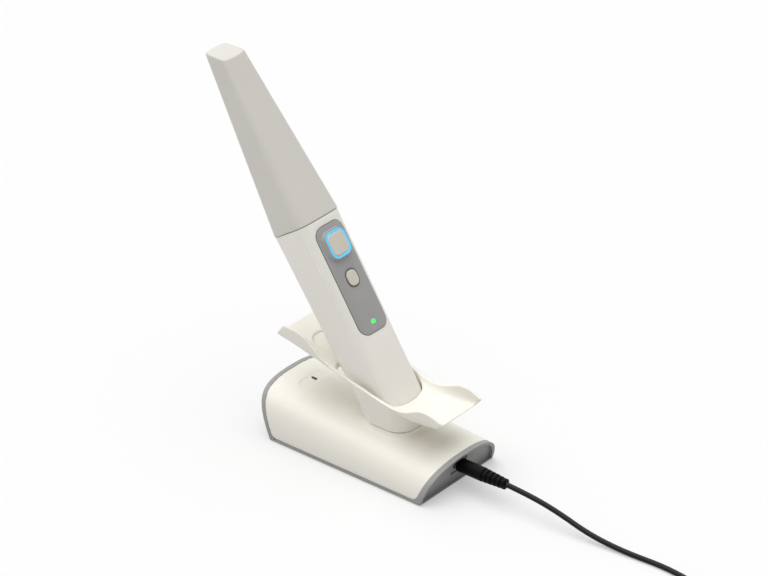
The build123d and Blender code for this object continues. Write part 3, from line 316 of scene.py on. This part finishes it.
FINISH["screw_steel"] = plated_metal("zinc_plated_steel", "#A2A3A6", 0.35, 0.4, 0.2)
FINISH["ballast_steel"] = plated_metal("rolled_steel_plate", "#77787B", 0.45, 0.8, 0.3)
FINISH["plug_nickel"] = plated_metal("nickel_plating", "#C6C4BE", 0.18, 0.5, 0.05)
FINISH["gold_contact"] = plated_metal("gold_plating", "#D8B25C", 0.22, 0.4, 0.05)
FINISH["mirror_face"] = plated_metal("front_surface_mirror", "#E6E8EA", 0.03, 0.5, 0.0)
FINISH["clear_glass"] = clear_glass("sight_glass")
FINISH["ring_blue"] = lit_guide("lit_blue_light_guide", "#58CEFF", 1.0)
FINISH["led_green"] = lit_guide("lit_green_light_guide", "#3CFF6A", 1.2)

SLOT_OF = {entry["node"]: entry["material_slot"] for entry in frame["record"]["subparts"]}


def finish_piece(piece, slot):
    piece.data.materials.clear()
    piece.data.materials.append(FINISH[slot])


for name, cad in nodes.items():
    finish_piece(cad, SLOT_OF[name])
finish_piece(lead, "lead_gloss")
print("finishes", len(FINISH))

# %% [markdown]
# A solid comes as loose triangles with hard edges. A real moulding has its edges broken by the
# mould, and its curves are smooth. So each visible solid is copied, its triangles are merged,
# small steps are smoothed by angle, and a narrow bevel catches the light along the rims.

# The two body shells are parted by a wide groove in the solids, for an easy fit. The photograph
# hardly shows it, so their rims are moved together until only a hairline is left. The sills
# under the recessed ends of the tray are thinned in the same way.

# %% Dress the visible solids
HAND_ORIGIN = (12.07, 0, 38.0)
HAND_LEAN = math.radians(34.1)
FORWARD = Vector((math.cos(HAND_LEAN), 0, math.sin(HAND_LEAN)))
ALONG = Vector((-math.sin(HAND_LEAN), 0, math.cos(HAND_LEAN)))
SEAM_FORWARD = 9.757
SEAM_TILT = 0.011067
SEAM_HALF_GAP = 0.175
SEAM_SHIFT = 0.16
SEAM_FIND = 0.02
SILL_TOP = 2.8
SILL_LOW = 1.0
SILL_FROM = 55
MERGE_WITHIN = 0.002
FLAT_DEG = 1.0
SHARP_DEG = 40
SMOOTH_DEG = 28
EDGE_STEPS = 3


def hand_place(forward, side, up):
    start = Vector(HAND_ORIGIN) + Vector((0, side, 0))
    return (start + FORWARD * forward + ALONG * up) * MM


SEAM_PLACE = hand_place(SEAM_FORWARD, 0, 0)
SEAM_NORMAL = (FORWARD - ALONG * SEAM_TILT).normalized()


def alone(piece):
    bpy.ops.object.select_all(action="DESELECT")
    piece.hide_set(False)
    piece.select_set(True)
    bpy.context.view_layer.objects.active = piece


def copy_of(node, name):
    piece = nodes[node].copy()
    piece.data = nodes[node].data.copy()
    piece.name = name
    piece.parent = None
    for key in list(piece.keys()):
        del piece[key]
    bpy.context.scene.collection.objects.link(piece)
    alone(piece)
    bpy.ops.object.mode_set(mode="EDIT")
    bpy.ops.mesh.select_all(action="SELECT")
    bpy.ops.mesh.remove_doubles(threshold=MERGE_WITHIN * MM)
    bpy.ops.mesh.dissolve_limited(angle_limit=math.radians(FLAT_DEG))
    bpy.ops.object.mode_set(mode="OBJECT")
    return piece


def close_seam(piece, side):
    moved = 0
    for vertex in piece.data.vertices:
        off = (vertex.co - SEAM_PLACE).dot(SEAM_NORMAL) / MM - side * SEAM_HALF_GAP
        if abs(off) < SEAM_FIND:
            vertex.co -= SEAM_NORMAL * side * SEAM_SHIFT * MM
            moved += 1
    print(piece.name, "seam points", moved)


def lower_sill(piece):
    moved = 0
    for vertex in piece.data.vertices:
        at_top = abs(vertex.co.z - SILL_TOP * MM) < SEAM_FIND * MM
        if at_top and abs(vertex.co.x) > SILL_FROM * MM:
            vertex.co.z = SILL_LOW * MM
            moved += 1
    print(piece.name, "sill points", moved)


def dressed(node, body, edge_mm, seam_side=0):
    piece = copy_of(node, node + "_skin")
    if seam_side:
        close_seam(piece, seam_side)
    if node == "base_tray":
        lower_sill(piece)
    if edge_mm:
        bevel = piece.modifiers.new("edge", "BEVEL")
        bevel.width = edge_mm * MM
        bevel.segments = EDGE_STEPS
        bevel.limit_method = "ANGLE"
        bevel.angle_limit = math.radians(SHARP_DEG)
        bevel.use_clamp_overlap = True
        bevel.harden_normals = False
        bpy.ops.object.modifier_apply(modifier=bevel.name)
    bpy.ops.object.shade_smooth_by_angle(angle=math.radians(SMOOTH_DEG))
    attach(piece, body)
    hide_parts(node)
    return piece


EDGE_OF = {
    "front_cover": 0.05, "rear_housing": 0.05, "control_panel": 0.2, "button_light_ring": 0.2,
    "base_tray": 0.3, "dc_plug": 0.25, "power_adapter": 0.2,
}
SEAM_SIDE_OF = {"front_cover": 1, "rear_housing": -1}
for name, edge in EDGE_OF.items():
    dressed(name, "cradle", edge, SEAM_SIDE_OF.get(name, 0))
dressed("scan_button", "scan_button", 0.15)
dressed("mode_button", "mode_button", 0.15)
print("dressed", len(EDGE_OF) + 2)

# %% [markdown]
# Two pieces are free forms: the holder, whose thin wings flow into a leaning neck, and the tip
# sleeve, which narrows along soft corners. Their solids have sharp rims, but the real rims are
# full rounds. So each copy is filled with small cubes, the steps between the cubes are smoothed
# away, and the flat places are thinned out again.

# The base cover is cast too, and the foot of its collar is smoothed further, because on the real
# cradle the neck seems to grow out of the base. The holder's neck is left as its solid is: its wall
# is open behind the foot, where the cut for the foot breaks through it.

# %% Cast the holder, the sleeve and the cover with round rims
SOFT_FADE = 4
SOFT_SPOT_STEPS = 90
SMOOTH_FACTOR = 0.5
COLLAR_PLACE = (13.9 * MM, 0)
COLLAR_REACH = 32
COLLAR_LOW = 14
COLLAR_HIGH = 28.3


def cast(node, body, cube_mm, steps, keep, soft_spot=None):
    piece = copy_of(node, node + "_skin")
    cubes = piece.modifiers.new("cubes", "REMESH")
    cubes.mode = "VOXEL"
    cubes.voxel_size = cube_mm * MM
    bpy.ops.object.modifier_apply(modifier=cubes.name)
    soft = piece.modifiers.new("soft", "SMOOTH")
    soft.factor = SMOOTH_FACTOR
    soft.iterations = steps
    bpy.ops.object.modifier_apply(modifier=soft.name)
    if soft_spot:
        centre, reach, low, high = soft_spot
        group = piece.vertex_groups.new(name="soft_spot")
        for vertex in piece.data.vertices:
            away = math.dist(vertex.co[:2], centre) / MM
            if away < reach and low < vertex.co.z / MM < high:
                group.add([vertex.index], min(1, (reach - away) / SOFT_FADE), "REPLACE")
        soft = piece.modifiers.new("soft_spot", "SMOOTH")
        soft.factor = SMOOTH_FACTOR
        soft.iterations = SOFT_SPOT_STEPS
        soft.vertex_group = group.name
        bpy.ops.object.modifier_apply(modifier=soft.name)
    thin = piece.modifiers.new("thin", "DECIMATE")
    thin.ratio = keep
    bpy.ops.object.modifier_apply(modifier=thin.name)
    bpy.ops.object.shade_smooth()
    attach(piece, body)
    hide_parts(node)
    return piece


holder = cast("holder", "cradle", 0.42, 12, 0.3)
sleeve = cast("tip_sleeve", "tip", 0.5, 5, 0.22)
collar_foot = (COLLAR_PLACE, COLLAR_REACH, COLLAR_LOW, COLLAR_HIGH)
base = cast("base_cover", "cradle", 0.5, 2, 0.2, soft_spot=collar_foot)
for piece in (holder, sleeve, base):
    print(piece.name, len(piece.data.polygons))

# %% [markdown]
# Two dark curves are painted shade: a thin ring in the groove round the lower button, and a line in
# the gap round the grey panel, where shadow falls. Each is a closed curve. Its points follow a
# rounded outline, and a ray finds how high the dressed surface is at each of them.

# %% Lay the painted shade rings on the panel
CORNER_STEPS = 8
SIDE_STEPS = 6
RAY_START = 40


def rounded_outline(width, length, corner):
    corners = []
    for quarter, (side, up) in enumerate([(1, 1), (-1, 1), (-1, -1), (1, -1)]):
        for step in range(CORNER_STEPS + 1):
            angle = math.pi / 2 * (quarter + step / CORNER_STEPS)
            y = side * (width / 2 - corner) + corner * math.cos(angle)
            z = up * (length / 2 - corner) + corner * math.sin(angle)
            corners.append((y, z))
    points = []
    for here, after in zip(corners, corners[1:] + corners[:1]):
        points.append(here)
        if math.dist(here, after) > corner / 2:
            for step in range(1, SIDE_STEPS):
                share = step / SIDE_STEPS
                side = here[0] + (after[0] - here[0]) * share
                up = here[1] + (after[1] - here[1]) * share
                points.append((side, up))
    return points


# Lays a thin dark tube on the given surface as painted shade along a groove.
def painted_shade_ring(name, target, up, width, length, corner, thickness, lift, slot):
    bpy.ops.curve.primitive_nurbs_path_add()
    ring = bpy.context.object
    ring.name = name
    ring.location = (0, 0, 0)
    ring.data.splines.clear()
    line = ring.data.splines.new("POLY")
    outline = rounded_outline(width, length, corner)
    line.points.add(len(outline) - 1)
    line.use_cyclic_u = True
    for point, (side, rise) in zip(line.points, outline):
        start = hand_place(RAY_START, side, up + rise)
        found, place, _, _ = target.ray_cast(start, -FORWARD)
        if not found:
            raise ValueError(name + " misses its surface")
        point.co = (*(place + FORWARD * lift * MM), 1)
        point.radius = thickness / 2 * MM
    ring.data.bevel_depth = 1
    ring.data.bevel_resolution = 3
    bpy.ops.object.convert(target="MESH")
    bpy.ops.object.shade_smooth()
    finish_piece(ring, slot)
    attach(ring, "cradle")
    return ring


panel = bpy.data.objects["control_panel_skin"]
cover = bpy.data.objects["front_cover_skin"]
# Painted shade: a dark ring in the groove round the mode button, and a dark line in the gap round the
# panel.
painted_shade_ring("mode_button_painted_shade_ring", panel, 87.25, 10.5, 11.9, 4.5, 0.45, 0.1, "frame_grey")
painted_shade_ring("panel_painted_shade_line", cover, 87.525, 25.9, 75.75, 7.15, 0.35, 0.0, "soft_rubber")
print("rings", 2)

# %% [markdown]
# The photograph is a studio shot on white: one broad soft light overhead and a bright surround.
# The floor is pale and takes the soft shadow. Rays from the camera and in reflections see part of
# it as plain white, which lifts it to the paper's tone without putting more light on the object.

# %% Build the floor, world and lamp
FLOOR_SIZE = 30.0
FLOOR_WHITE_SHARE = 0.35
FLOOR_BOUNCE = "#D0D0D0"
FLOOR_SEEN = "#ECECEC"
SURROUND_LIGHT = 0.40
SURROUND_SEEN = 1.0
LAMP_FROM = (-0.35, -0.05, 1.5)
LAMP_WIDTH_DEG = 80
LAMP_POWER = 2.5


def seen_rays(tree):
    path = add_node(tree, "ShaderNodeLightPath")
    direct = add_node(
        tree, "ShaderNodeMath",
        {0: path.outputs["Is Camera Ray"], 1: path.outputs["Is Glossy Ray"]}, operation="MAXIMUM",
    )
    return add_node(
        tree, "ShaderNodeMath",
        {0: direct.outputs[0], 1: path.outputs["Is Transmission Ray"]}, operation="MAXIMUM",
    )


bpy.ops.mesh.primitive_plane_add(size=FLOOR_SIZE, location=(0, 0, 0))
floor = bpy.context.object
floor.name = "studio_floor"
paper, tree, shader = new_material("pale_studio_paper")
tree.nodes.remove(shader)
output = tree.nodes["Material Output"]
seen = seen_rays(tree)
share = add_node(
    tree, "ShaderNodeMath", {0: seen.outputs[0], 1: FLOOR_WHITE_SHARE}, operation="MULTIPLY"
)
tone = add_node(tree, "ShaderNodeMix", {"Factor": seen.outputs[0]}, data_type="RGBA")
tone.inputs[6].default_value = colour(FLOOR_BOUNCE)
tone.inputs[7].default_value = colour(FLOOR_SEEN)
matt = add_node(tree, "ShaderNodeBsdfDiffuse", {"Color": tone.outputs[2]})
white = add_node(tree, "ShaderNodeEmission", {"Color": colour("#FFFFFF"), "Strength": 1.0})
both = add_node(
    tree, "ShaderNodeMixShader", {0: share.outputs[0], 1: matt.outputs[0], 2: white.outputs[0]}
)
tree.links.new(both.outputs[0], output.inputs["Surface"])
floor.data.materials.append(paper)

world = bpy.data.worlds.new("studio_surround")
bpy.context.scene.world = world
world.use_nodes = True
tree = world.node_tree
tree.nodes.clear()
seen = seen_rays(tree)
level = add_node(
    tree, "ShaderNodeMapRange",
    {"Value": seen.outputs[0], "To Min": SURROUND_LIGHT, "To Max": SURROUND_SEEN},
)
surround = add_node(
    tree, "ShaderNodeBackground", {"Color": colour("#FFFFFF"), "Strength": level.outputs["Result"]}
)
add_node(tree, "ShaderNodeOutputWorld", {"Surface": surround.outputs[0]})

bpy.ops.object.light_add(type="SUN", location=LAMP_FROM)
lamp = bpy.context.object
lamp.name = "overhead_softbox"
lamp.data.angle = math.radians(LAMP_WIDTH_DEG)
lamp.data.energy = LAMP_POWER
lamp.rotation_euler = Vector(LAMP_FROM).to_track_quat("Z", "Y").to_euler()
print("lamp", lamp.name)
